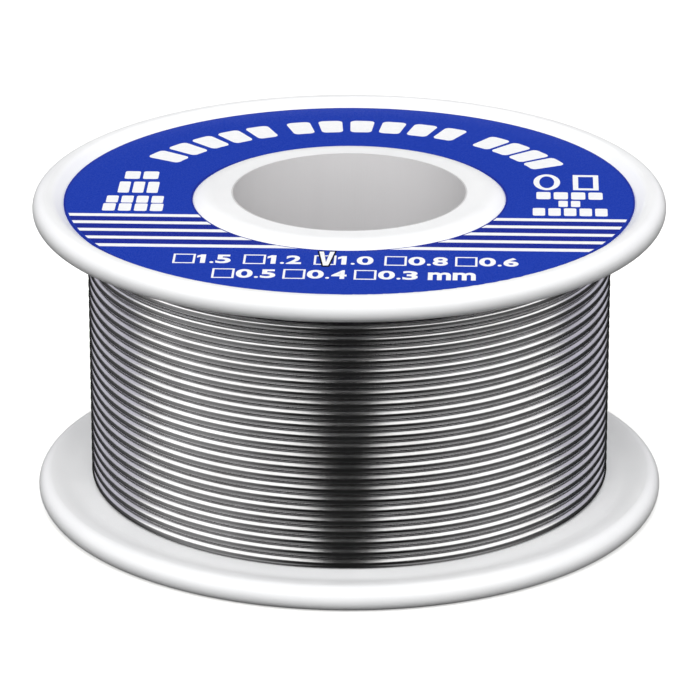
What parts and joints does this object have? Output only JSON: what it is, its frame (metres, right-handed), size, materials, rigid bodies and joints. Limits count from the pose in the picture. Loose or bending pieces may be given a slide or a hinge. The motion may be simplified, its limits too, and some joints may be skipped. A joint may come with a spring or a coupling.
{
  "type": "solder wire spool",
  "caption": "Small flanged spool of bright flux-cored solder wire, with a round bore and a flat printed label on its top flange.",
  "frame": {"origin": "on the spool axis, in the plane the spool stands on", "axes": "+Z along the spool axis towards the labelled flange; the label reads upright seen from -Y"},
  "size_m": [0.059, 0.059, 0.03],
  "materials": {
    "white_plastic": "satin moulded",
    "barrel_plastic": "moulded",
    "tube_plastic": "moulded",
    "label": "coated printed paper",
    "solder": "bright drawn tin alloy",
    "flux": "amber rosin"
  },
  "bodies": {
    "root": {"lower_flange": "white_plastic", "upper_flange": "white_plastic", "winding_barrel": "barrel_plastic", "bore_tube": "tube_plastic", "top_label": "label", "solder_wire": "solder", "flux_core": "flux"}
  },
  "joints": []
}
